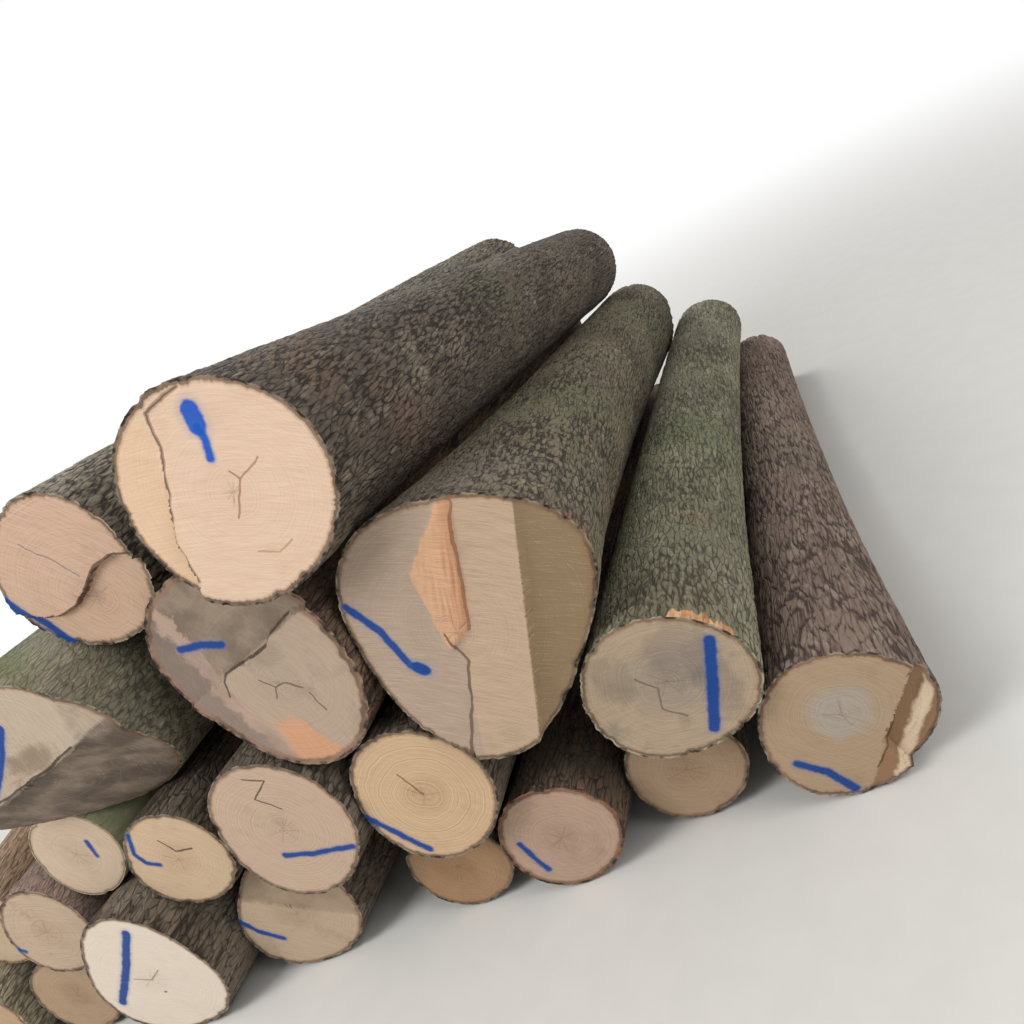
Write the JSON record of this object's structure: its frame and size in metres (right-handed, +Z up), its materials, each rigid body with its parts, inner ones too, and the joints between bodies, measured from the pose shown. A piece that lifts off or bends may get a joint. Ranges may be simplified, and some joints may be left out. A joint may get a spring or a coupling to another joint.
{
  "type": "heap of logs",
  "caption": "Roadside heap of felled hardwood sawlogs with bark on, lying side by side, their pale sawn ends to the front.",
  "frame": {"origin": "on the level ground, at the bottom centre of the heap's bounding box", "axes": "+X to the right as seen from the sawn front, +Y along the logs away from that front, +Z up"},
  "size_m": [3.693, 3.3278, 1.7765],
  "materials": {
    "bark_blocky_grey": "rough bark; the sawn ends are pale bare wood",
    "bark_dark_brown": "rough bark; the sawn ends are pale bare wood",
    "bark_deep_furrowed": "rough bark; the sawn ends are pale bare wood",
    "bark_green_brown": "rough bark; the sawn ends are pale bare wood",
    "bark_green_grey": "rough bark; the sawn ends are pale bare wood",
    "bark_grey_brown": "rough bark; the sawn ends are pale bare wood",
    "bark_pale_ridged": "rough bark; the sawn ends are pale bare wood",
    "bark_purple_brown": "rough bark; the sawn ends are pale bare wood",
    "bark_smooth_green": "rough bark; the sawn ends are pale bare wood",
    "bark_warm_brown": "rough bark; the sawn ends are pale bare wood"
  },
  "bodies": {
    "root": {"log_base_hidden": "bark_grey_brown", "log_base_left": "bark_grey_brown", "log_base_middle": "bark_grey_brown", "log_base_outer": "bark_grey_brown", "log_base_pale": "bark_grey_brown", "log_base_right": "bark_grey_brown", "log_core_end": "bark_grey_brown", "log_core_left": "bark_grey_brown", "log_core_right": "bark_grey_brown", "log_crown": "bark_dark_brown", "log_crown_left": "bark_blocky_grey", "log_flank_back": "bark_warm_brown", "log_flank_brown": "bark_purple_brown", "log_flank_right": "bark_green_grey", "log_flank_thin": "bark_smooth_green", "log_heart": "bark_grey_brown", "log_shoulder_left": "bark_pale_ridged", "log_shoulder_right": "bark_green_brown", "log_toe_left": "bark_deep_furrowed", "log_toe_right": "bark_purple_brown"}
  },
  "joints": []
}
